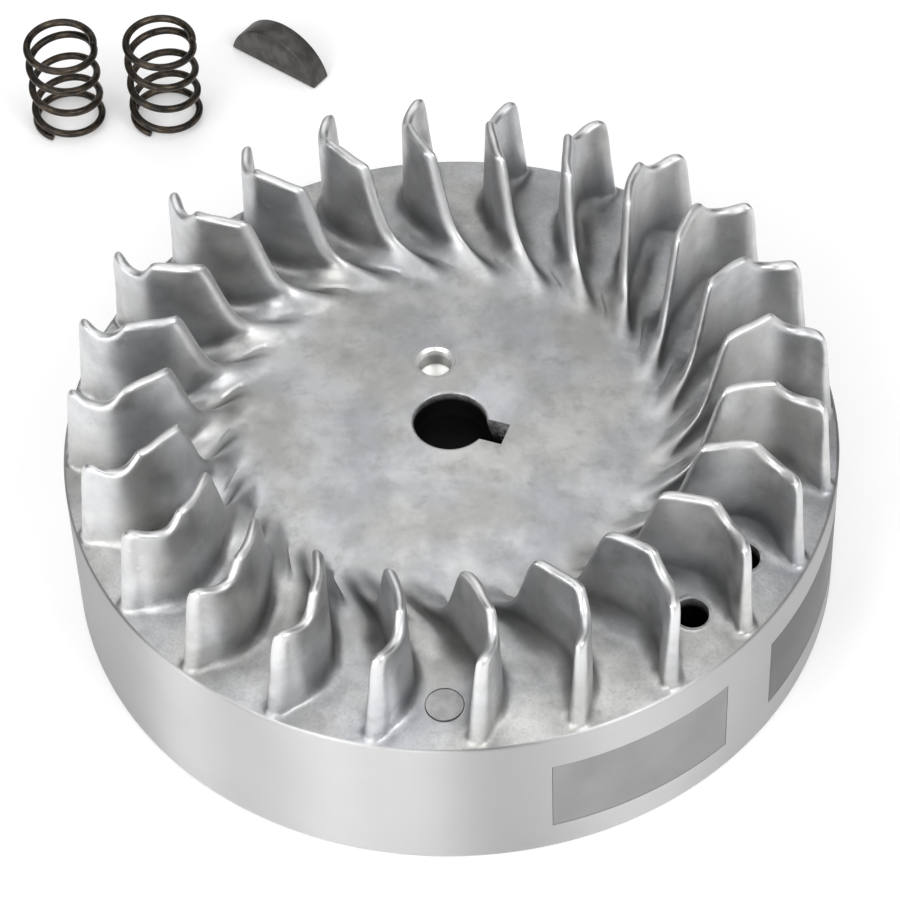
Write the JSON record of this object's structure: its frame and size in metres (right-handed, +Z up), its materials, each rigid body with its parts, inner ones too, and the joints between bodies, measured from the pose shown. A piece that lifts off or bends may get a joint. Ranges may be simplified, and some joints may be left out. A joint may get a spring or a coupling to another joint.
{
  "type": "fan flywheel kit",
  "caption": "Cast aluminium engine flywheel with curved cooling fins, magnet pole shoes and a keyed taper bore, with its half-moon key and valve springs laid out beside it.",
  "frame": {"origin": "centre of the laid-out kit's underside, on the surface that everything stands on", "axes": "+Z up along the flywheel's axis, fins on top; +Y from the flywheel towards the springs and the key, the kit's longest side"},
  "size_m": [0.1918, 0.2636, 0.0682],
  "materials": {
    "cast_aluminium": "die cast and blasted, darker in the hollows, burnished along the fin edges",
    "plug_aluminium": "flush plug, dull",
    "hub_steel": "reamed taper, lightly oiled",
    "pole_steel": "laminated steel turned flush with the rim",
    "magnet": "sintered magnet",
    "spring_steel": "oil-tempered wire, near black with a brown sheen",
    "key_steel": "charcoal heat-treated steel"
  },
  "bodies": {
    "flywheel": {"flywheel_casting": "cast_aluminium", "fin_01": "cast_aluminium", "fin_02": "cast_aluminium", "fin_03": "cast_aluminium", "fin_04": "cast_aluminium", "fin_05": "cast_aluminium", "fin_06": "cast_aluminium", "fin_07": "cast_aluminium", "fin_08": "cast_aluminium", "fin_09": "cast_aluminium", "fin_10": "cast_aluminium", "fin_11": "cast_aluminium", "fin_12": "cast_aluminium", "fin_13": "cast_aluminium", "fin_14": "cast_aluminium", "fin_15": "cast_aluminium", "fin_16": "cast_aluminium", "fin_17": "cast_aluminium", "fin_18": "cast_aluminium", "fin_19": "cast_aluminium", "fin_20": "cast_aluminium", "fin_21": "cast_aluminium", "fin_22": "cast_aluminium", "fin_23": "cast_aluminium", "fin_24": "cast_aluminium", "hub_insert": "hub_steel", "pole_shoe_leading": "pole_steel", "pole_shoe_trailing": "pole_steel", "ignition_magnet": "magnet", "core_plug": "plug_aluminium"},
    "key": {"woodruff_key": "key_steel"},
    "spring_1": {"valve_spring_1_seat_coil": "spring_steel", "valve_spring_1_active_coils": "spring_steel"},
    "spring_1_top": {"valve_spring_1_top_coil": "spring_steel"},
    "spring_2": {"valve_spring_2_seat_coil": "spring_steel", "valve_spring_2_active_coils": "spring_steel"},
    "spring_2_top": {"valve_spring_2_top_coil": "spring_steel"}
  },
  "joints": [
    {"name": "key_lift", "type": "slide", "parent": "flywheel", "child": "key", "axis": [0, 0, 1], "range_m": [0, 0.06]},
    {"name": "spring_1_lift", "type": "slide", "parent": "flywheel", "child": "spring_1", "axis": [0, 0, 1], "range_m": [0, 0.06]},
    {"name": "spring_1_press", "type": "slide", "parent": "spring_1", "child": "spring_1_top", "axis": [0, 0, -1], "range_m": [0, 0.015], "stiffness_N_per_m": 8600, "deforming": ["valve_spring_1_active_coils"]},
    {"name": "spring_2_lift", "type": "slide", "parent": "flywheel", "child": "spring_2", "axis": [0, 0, 1], "range_m": [0, 0.06]},
    {"name": "spring_2_press", "type": "slide", "parent": "spring_2", "child": "spring_2_top", "axis": [0, 0, -1], "range_m": [0, 0.015], "stiffness_N_per_m": 8600, "deforming": ["valve_spring_2_active_coils"]}
  ]
}
